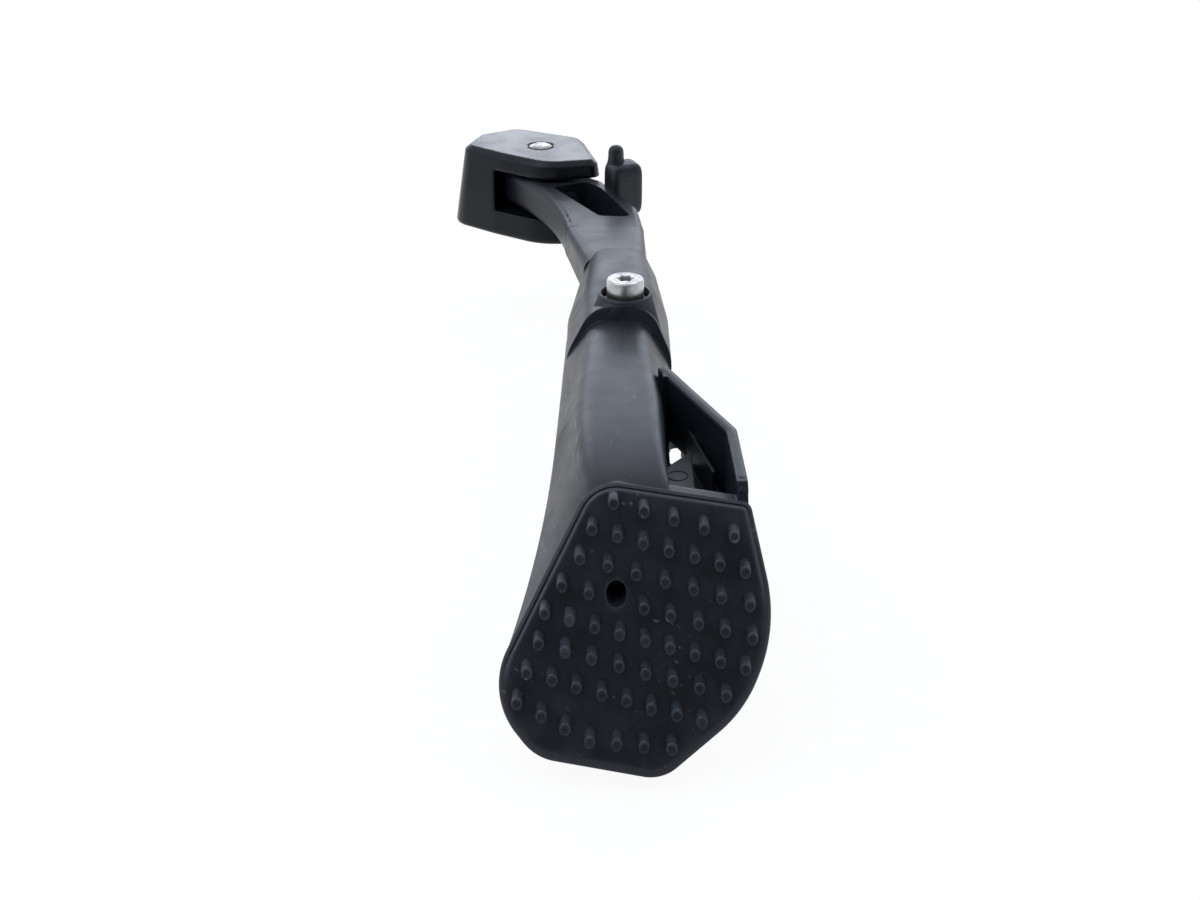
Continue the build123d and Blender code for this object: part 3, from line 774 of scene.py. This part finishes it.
    def studs(self) -> Object:
        """Studs: a round profile along the leg's axis, its end parallel to the face and a little dished.

        Point = place on the tread + share * radius * (cos a across + sin a up / cos lean) + height
        along -Y.
        """
        rng = np.random.default_rng(self.seed)
        places = self.stud_places()
        count = len(places)
        share, height, wear_and_light = np.array(self.stud_profile).T
        angle = full_turn(self.stud_sides)
        grow = 1.0 + rng.normal(0.0, self.radius_spread, count)
        radius = self.stud_r * share[None, :, None] * grow[:, None, None]
        u = places[:, 0, None, None] + radius * np.cos(angle)
        v = places[:, 1, None, None] + radius * np.sin(angle) / math.cos(math.radians(self.lean))
        points = self.on_face(u, v, np.full(u.shape, self.tread))
        tall = 1.0 - np.abs(rng.normal(0.0, self.height_spread, count))
        points[..., 1] -= height[None, :, None] * np.where(height > 0, tall[:, None], 1.0)[..., None]
        bent = rng.normal(0.0, self.bend_spread, (count, 2))[:, None, None]
        bent = bent * np.clip(height, 0.0, None)[None, :, None, None]
        points[..., 0] += bent[..., 0]
        points[..., 2] += bent[..., 1]
        # How pale each stud is, at random: it scales the rubbed wear and the painted light alike.
        stud_paleness = self.paleness_least + self.paleness_more * rng.random(count)
        far = np.linalg.norm(places[:, None] - np.array(self.dusty)[None], axis=2).min(axis=1)
        powder = np.where(far < self.dusty_reach, self.dusty_wear, 0.0)
        dusted = powder[:, None] * (height > self.dusty_from)[None]
        worn_and_lit = np.clip(wear_and_light[None] * stud_paleness[:, None] + dusted, 0.0, 1.0)
        # Painted light: upper sides of the studs paler, lower sides darker.
        lit = self.shade[0] + self.shade[1] * np.sin(angle)
        return skin("pad_studs", points, worn_and_lit[..., None] * lit)

    def curl(self) -> Object:
        """Torn lip on one stud's end: a tapering round section on an arc over the end's lower right.

        Point = end's middle + arc radius * spoke + tube * (cos b spoke + sin b outwards along -Y).
        """
        turn = np.radians(np.linspace(*self.curl_turn, self.curl_rows))[:, None]
        along = np.linspace(0.0, np.pi, self.curl_rows)[:, None]
        tube = self.curl_tube * np.sin(along) ** self.curl_taper
        bend = full_turn(self.curl_sides)[None]
        reach = self.curl_r + tube * np.cos(bend)
        u = self.torn[0] + reach * np.cos(turn)
        v = self.torn[1] + reach * np.sin(turn) / math.cos(math.radians(self.lean))
        points = self.on_face(u, v, np.full(u.shape, self.tread))
        points[..., 1] -= self.stud_profile[-1][1] + tube * np.sin(bend)
        return skin("pad_torn_lip", points[None], np.full(u.shape, self.curl_wear)[None])

    def build(self, finishes: Finishes) -> None:
        """Builds the sole, its studs and the torn lip in rubber."""
        finishes.fit(self.sole(), finishes.rubber, Body.LEG, "pad_rubber", "foot_pad")
        finishes.fit(self.studs(), finishes.rubber, Body.LEG, "pad_rubber")
        finishes.fit(self.curl(), finishes.rubber, Body.LEG, "pad_rubber")


@dataclass
class Buffer:
    """Rubber buffer on the arm's right side: a rounded block with a round knob on top."""

    origin: Pair = (30.73, -47.22)
    run: Pair = (0.3714, -0.9285)
    out: Pair = (0.9285, 0.3714)
    half: Triple = (5.0, 5.3, 8.6)
    inset: float = -2.2
    middle_z: float = 5.6
    boxiness: float = 0.36
    knob_at: Pair = (-2.0, 1.3)
    # Radius and height of the knob, from inside the block to its domed end.
    knob: Pairs = (
        (0.0, 9.0), (2.9, 9.0), (3.0, 12.6), (2.85, 13.8), (2.62, 14.8), (2.52, 15.8), (2.5, 17.2),
        (2.36, 18.0), (2.0, 18.7), (1.45, 19.15), (0.75, 19.36), (0.0, 19.4),
    )
    knob_sides: int = 40
    steps: int = 64

    def block(self) -> Array:
        """Rounded block: half size times cosines and sines of two angles, each to a small power."""
        around = full_turn(self.steps)[None]
        over = np.linspace(-np.pi / 2, np.pi / 2, self.steps // 2)[:, None]
        ring_x, ring_y, rise, lean = np.cos(around), np.sin(around), np.sin(over), np.cos(over)
        power = self.boxiness
        soft = np.abs(lean) ** power
        run = self.half[0] * soft * signed_power(ring_x, power)
        out = self.inset + self.half[1] * (1.0 + soft * signed_power(ring_y, power))
        up = self.middle_z + self.half[2] * signed_power(rise, power)
        x = self.origin[0] + run * self.run[0] + out * self.out[0]
        y = self.origin[1] + run * self.run[1] + out * self.out[1]
        return np.stack([x, y, np.broadcast_to(up, x.shape)], axis=-1)[None]

    def build(self, finishes: Finishes) -> None:
        """Builds the block and its knob in rubber."""
        block = skin("buffer_block", self.block())
        finishes.fit(block, finishes.rubber, Body.ARM, "buffer_rubber", "bumper")
        origin, run, out = map(np.array, (self.origin, self.run, self.out))
        place = origin + self.knob_at[0] * run + self.knob_at[1] * out
        radius, height = np.array(self.knob).T
        points = turned(radius[:, None], height[:, None], (*place, 0.0), self.knob_sides)
        finishes.fit(skin("buffer_knob", points), finishes.rubber, Body.ARM, "buffer_rubber")


@dataclass
class ClampScrew:
    """Cap screw with a six-lobe socket, its head's edge rounded and its lower end threaded."""

    axis_at: Pair = (32.8, -161.5)
    head_r: float = 5.0
    head_low: float = 12.0
    head_top: float = 18.0
    shank_r: float = 3.0
    shank_low: float = -6.9
    thread_top: float = 6.0
    pitch: float = 1.0
    thread_depth: float = 0.35
    tip_rise: float = 0.6
    tip_inset: float = 0.7
    lobe_r: float = 1.95
    lobe_wave: float = 0.3
    lobes: int = 6
    socket_floor: float = 15.0
    # Share of the lobes' radius, and depth under the head's top or under the socket's floor.
    socket_mouth: Pairs = ((1.14, 0.0), (1.04, 0.12), (1.0, 0.35))
    socket_end: Pairs = ((0.98, 0.0), (0.6, 0.3), (0.0, 0.5))
    sides: int = 96
    # Radius less than the head's, and height under its top, over the rounded edge and the flat.
    head_edge: Pairs = (
        (0.35, 6.0), (0.08, 5.92), (0.0, 5.7), (0.0, 0.75), (0.03, 0.5), (0.12, 0.27), (0.3, 0.1),
        (0.55, 0.01), (0.75, 0.0), (1.55, 0.0), (1.6, 0.03), (1.65, 0.0),
    )

    def surface(self) -> Array:
        """Rows from the shank's end up over the head and down into the socket.

        The thread's radius dips along a helix, and the socket's waves six times round.
        """
        angle = full_turn(self.sides)
        step = self.pitch / ROWS_PER_PITCH
        level = np.arange(self.shank_low + self.tip_rise, self.thread_top, step)
        ends = np.clip((self.thread_top - level) / self.pitch, 0.0, 1.0)[:, None]
        wave = helix_wave(level, self.pitch, self.sides)
        thread = self.shank_r - self.thread_depth * (1.0 - wave) * ends
        tip = np.array([(0.0, self.shank_low), (self.shank_r - self.tip_inset, self.shank_low)])
        edge, mouth, end = map(np.array, (self.head_edge, self.socket_mouth, self.socket_end))
        lobe = self.lobe_r + self.lobe_wave * np.cos(self.lobes * angle)
        radius = np.concatenate([
            np.repeat(tip[:, :1], self.sides, axis=1),
            thread,
            np.full((2, self.sides), self.shank_r),
            np.repeat(self.head_r - edge[:, :1], self.sides, axis=1),
            np.outer(np.concatenate([mouth, end])[:, 0], lobe),
        ])
        height = np.concatenate([
            tip[:, 1],
            level,
            (self.thread_top, self.head_low),
            self.head_top - edge[:, 1],
            self.head_top - mouth[:, 1],
            self.socket_floor - end[:, 1],
        ])
        return turned(radius, height[:, None], (*self.axis_at, 0.0), self.sides)

    def build(self, finishes: Finishes) -> None:
        """Builds the screw in bright zinc."""
        screw = skin("clamp_screw_turned", self.surface())
        finishes.fit(screw, finishes.zinc, Body.LEG, "screw_zinc", "clamp_screw")


@dataclass
class MountThreads:
    """Threads in the two mounting holes of the bracket."""

    spacing: float = 18.0
    bore_r: float = 2.5
    depth: float = 6.6
    start: float = 0.4
    pitch: float = 1.0
    crest: float = 0.28
    sunk: float = 0.02
    wall: float = 0.12
    sides: int = 48

    def surface(self) -> Array:
        """Two linings: crests that wind inwards from the bore, closed by a plain wall behind them."""
        level = -np.arange(self.start, self.depth, self.pitch / ROWS_PER_PITCH)
        wave = helix_wave(level, self.pitch, self.sides)
        threads = self.bore_r + self.sunk - self.crest * wave
        radius = np.concatenate([threads, np.full((2, self.sides), self.bore_r + self.wall)])
        height = np.concatenate([level, level[[-1, 0]]])
        centres = [(side * self.spacing / 2, 0.0, 0.0) for side in (-1, 1)]
        grids = [turned(radius, height[:, None], centre, self.sides, Axis.OUT) for centre in centres]
        return np.concatenate(grids)

    def build(self, finishes: Finishes) -> None:
        """Builds both linings in bare cut metal."""
        piece = skin("mount_threads", self.surface(), round_rows=True)
        finishes.fit(piece, finishes.steel, Body.BRACKET, "cast_paint")


@dataclass
class ArmFairing:
    """Paint-filled fairing over the arm's top, where the web runs into the neck."""

    seam_y: float = -84.0
    reach: float = 7.0
    web_top: float = 5.65
    neck_top: float = 7.4
    neck_run: float = 32.4
    lift: float = 0.1
    sink: float = 0.04
    soft: float = 2.0
    left: Pair = (18.2, 20.4)
    right: Pair = (36.8, 36.4)
    fade: tuple[int, int] = (4, 8)
    rows: int = 40
    columns: int = 40

    def build(self, finishes: Finishes) -> None:
        """Builds a thin lens whose border sinks into the arm.

        Height = web's top + neck's slope * softened way past the seam + a crown that fades at the
        border, so that the top runs level and then up the neck.
        """
        share = np.linspace(-1.0, 1.0, self.rows)[:, None]
        across = np.linspace(-1.0, 1.0, self.columns)[None]
        ahead = self.reach * share
        slope = (self.neck_top - self.web_top) / self.neck_run
        base = self.web_top + slope * (np.sqrt(ahead**2 + self.soft**2) + ahead) / 2.0
        crown = self.lift * (1.0 - share ** self.fade[0]) * (1.0 - across ** self.fade[1]) - self.sink
        left = np.interp(share, (-1.0, 1.0), self.left)
        right = np.interp(share, (-1.0, 1.0), self.right)
        x = (left + right) / 2.0 + across * (right - left) / 2.0
        y = np.broadcast_to(self.seam_y - ahead, x.shape)
        over = np.stack([x, y, base + crown], axis=-1)
        low = np.broadcast_to(base - self.lift - self.sink, x.shape)
        under = np.stack([x, y, low], axis=-1)[:, ::-1]
        piece = skin("arm_fairing", capped(np.concatenate([over, under], axis=1)))
        finishes.fit(piece, finishes.forging, Body.ARM, "arm_alloy")


@dataclass
class LegTrim:
    """Moulded forms on the lower leg: the screw boss's skirt, the lever's rim and an ejector mark."""

    boss_at: Pair = (32.8, -161.5)
    boss_r: float = 7.68
    rim_z: float = 13.3
    turn: Pair = (196.0, 344.0)
    # The crown's front is a plane through this y and z, falling forwards.
    front_at: Pair = (-169.0, 12.6)
    front_run: float = 0.445
    proud: float = 0.08
    hem_x: float = 31.05
    hem_half: float = 12.7
    hem_z: float = 8.9
    hem_drop: float = 5.8
    hem_back: Triple = (0.0, 1.2, -0.4)
    rim_back: Triple = (0.0, 1.2, -1.0)
    skirt_rows: int = 60
    skirt_columns: int = 12
    lever: Triples = (
        (41.6, -203.0, 9.25), (56.6, -239.5, 9.25), (57.35, -265.15, 9.25), (57.45, -266.6, 6.8),
    )
    rim_half: Pair = (1.32, 1.1)
    rim_power: float = 0.7
    step: float = 0.4
    blur: int = 4
    sides: int = 24
    mark_at: Triple = (44.0, -245.0, 1.0)
    mark_r: float = 2.4
    mark_bead: float = 0.16
    mark_sides: tuple[int, int] = (10, 48)

    def skirt(self) -> Array:
        """Ruled skirt: rim point + share * (hem point - rim point), closed behind inside the boss."""
        turn = np.radians(np.linspace(*self.turn, self.skirt_rows))
        spoke = np.column_stack([np.cos(turn), np.sin(turn)])
        rim = np.array(self.boss_at) + self.boss_r * spoke
        rim = np.column_stack([rim, np.full(self.skirt_rows, self.rim_z)])
        hem_z = self.hem_z - self.hem_drop * spoke[:, 0] ** 2
        hem_y = self.front_at[0] + self.front_run * (hem_z - self.front_at[1]) - self.proud
        hem = np.column_stack([self.hem_x + self.hem_half * spoke[:, 0], hem_y, hem_z])
        share = np.linspace(0.0, 1.0, self.skirt_columns)[None, :, None]
        fall = rim[:, None] + share * (hem - rim)[:, None]
        behind = np.stack([hem + self.hem_back, rim + self.rim_back], axis=1)
        return capped(np.concatenate([fall, behind], axis=1))

    def rim(self) -> Array:
        """Rounded rim: a superellipse carried along the lever's wall and down over its front end."""
        knots = np.array(self.lever)
        length = travelled(knots)
        path = at_lengths(knots, length, np.arange(0.0, length[-1], self.step))
        window = np.ones(2 * self.blur + 1) / (2 * self.blur + 1)
        padded = np.pad(path, ((self.blur, self.blur), (0, 0)), mode="edge")
        path = np.column_stack([np.convolve(column, window, mode="valid") for column in padded.T])
        ahead = np.gradient(path, axis=0)
        ahead /= np.linalg.norm(ahead, axis=1, keepdims=True)
        plan = np.column_stack([ahead[:, 1], -ahead[:, 0], np.zeros(len(ahead))])
        side = plan / np.linalg.norm(plan, axis=1, keepdims=True)
        over = np.cross(ahead, side)
        bend = full_turn(self.sides)
        wide = self.rim_half[0] * signed_power(np.cos(bend), self.rim_power)
        tall = self.rim_half[1] * signed_power(np.sin(bend), self.rim_power)
        loop = path[:, None] + wide[None, :, None] * side[:, None] + tall[None, :, None] * over[:, None]
        return capped(loop)

    def mark(self) -> Array:
        """Raised ring that a pin left on the lever's gusset: a small bead carried round a circle."""
        turn = full_turn(self.mark_sides[0])[:, None]
        radius, height = self.mark_r + self.mark_bead * np.cos(turn), self.mark_bead * np.sin(turn)
        return turned(radius, height, self.mark_at, self.mark_sides[1])

    def build(self, finishes: Finishes) -> None:
        """Builds the three forms in nylon."""
        pieces = (
            skin("boss_skirt", self.skirt()),
            skin("lever_rim", self.rim()),
            skin("ejector_mark", self.mark(), round_rows=True),
        )
        for piece in pieces:
            finishes.fit(piece, finishes.nylon, Body.LEG, "leg_nylon")


@dataclass(frozen=True)
class Lamp:
    """Soft rectangular lamp: its centre, its width and height, and its radiant power in watts."""

    name: str
    place: Triple
    size: Pair
    watts: float


@dataclass
class Studio:
    """White studio: pale floor, a light tent open towards the camera, two lamps and the camera."""

    camera_place: Triple = (0.026, -0.631, 0.1972)
    camera_pitch: float = 26.15
    lens_mm: float = 55.98
    sensor_mm: float = 36.0
    clip: Pair = (0.01, 50.0)
    floor_drop_mm: float = 2.0
    floor_half: float = 6.0
    floor_white: str = "#f4f4f4"
    floor_glow: float = 1.06
    floor_seen: float = 0.87
    tent: str = "#ecf2ff"
    tent_level: float = 0.9
    open_level: float = 0.1
    opening: Pair = (-0.85, -0.15)
    sweep: Pair = (-0.25, 0.0)
    sweep_share: float = 0.9
    # A low lamp behind for the sheen on the bracket, and a soft key from the upper left.
    aim: Triple = (0.03, -0.15, 0.0)
    back: Lamp = Lamp("back", (0.05, 1.3, 0.38), (1.6, 0.2), 4.2)
    key: Lamp = Lamp("key", (-0.55, -0.35, 0.9), (0.7, 0.7), 1.6)

    def camera(self) -> None:
        """Sets the camera level, looking along +Y and down by its pitch."""
        data = bpy.data.cameras.new("camera")
        data.lens, data.sensor_width = self.lens_mm, self.sensor_mm
        data.clip_start, data.clip_end = self.clip
        camera = placed("camera", data)
        camera.location = self.camera_place
        camera.rotation_euler = (math.radians(90.0 - self.camera_pitch), 0.0, 0.0)
        bpy.context.scene.camera = camera

    def hang(self, lamp: Lamp) -> None:
        """Adds one lamp in the tent's colour, facing the studio's aim and unseen by the camera."""
        data = bpy.data.lights.new(lamp.name, "AREA")
        data.shape, data.energy = "RECTANGLE", lamp.watts
        data.size, data.size_y = lamp.size
        data.color = linear(self.tent)[:3]
        piece = placed(lamp.name, data)
        away = np.subtract(lamp.place, self.aim)
        flat = math.hypot(away[0], away[1])
        piece.location = lamp.place
        piece.rotation_euler = (math.atan2(flat, away[2]), 0.0, math.atan2(away[0], -away[1]))
        piece.visible_camera = False

    def world(self) -> None:
        """White for the camera; as light, a pale tent that darkens towards the camera's side."""
        world = bpy.data.worlds.new("studio")
        tree = Tree(world)
        path = tree.node("ShaderNodeLightPath").outputs
        seen = tree.math("MAXIMUM", path["Is Camera Ray"], path["Is Transmission Ray"])
        span = (*self.opening, self.open_level, self.tent_level)
        tent = tree.ramp(tree.forward("Generated"), *span, curve="SMOOTHSTEP")
        level = tree.node("ShaderNodeMix", {0: seen, 2: tent, 3: 1.0}, data_type="FLOAT").outputs[0]
        colour = tree.mix(seen, linear(self.tent), linear(WHITE))
        light = tree.node("ShaderNodeBackground", {"Color": colour, "Strength": level})
        tree.node("ShaderNodeOutputWorld", {"Surface": light.outputs[0]})
        bpy.context.scene.world = world

    def floor(self, lowest: float) -> None:
        """Lays a pale floor just under the object, white to the camera but for a soft shadow.

        Towards the back the floor is a lit sweep, which the glossy sides mirror as white.

        Args:
            lowest: height of the object's lowest point.
        """
        corners = self.floor_half * np.array([(-1, -1), (1, -1), (1, 1), (-1, 1)])
        points = np.column_stack([corners, np.full(4, lowest - self.floor_drop_mm * MM)])
        mesh = bpy.data.meshes.new("floor")
        mesh.from_pydata(points.tolist(), [], [(0, 1, 2, 3)])
        floor = placed("floor", mesh)
        material = bpy.data.materials.new("studio floor, matte white")
        tree = Tree(material)
        matte = tree.node("ShaderNodeBsdfDiffuse", {"Color": linear(self.floor_white)})
        glow = tree.node("ShaderNodeEmission", {"Color": linear(WHITE), "Strength": self.floor_glow})
        path = tree.node("ShaderNodeLightPath").outputs
        span = (*self.sweep, 0.0, self.sweep_share)
        mirrored = tree.math("MULTIPLY", path["Is Glossy Ray"], tree.ramp(tree.forward("Object"), *span))
        seen = tree.math("MULTIPLY", path["Is Camera Ray"], self.floor_seen)
        share = tree.math("MAXIMUM", seen, mirrored)
        blend = tree.node("ShaderNodeMixShader", {0: share, 1: matte.outputs[0], 2: glow.outputs[0]})
        tree.node("ShaderNodeOutputMaterial", {"Surface": blend.outputs[0]})
        mesh.materials.append(material)
        floor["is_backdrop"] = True

    def build(self, lowest: float) -> None:
        """Sets the whole studio around an object with this lowest point."""
        self.camera()
        for lamp in (self.back, self.key):
            self.hang(lamp)
        self.world()
        self.floor(lowest)
        bpy.context.scene.view_settings.view_transform = "Standard"


def main() -> None:
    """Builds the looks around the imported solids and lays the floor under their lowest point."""
    logging.basicConfig(level=logging.INFO, format="%(name)s: %(message)s")
    solids_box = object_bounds()
    finishes = Finishes()
    finishes.dress()
    for part in (FootPad, Buffer, ClampScrew, MountThreads, ArmFairing, LegTrim):
        part().build(finishes)
    Studio().build(solids_box[0][2])


if __name__ == "__main__":
    main()
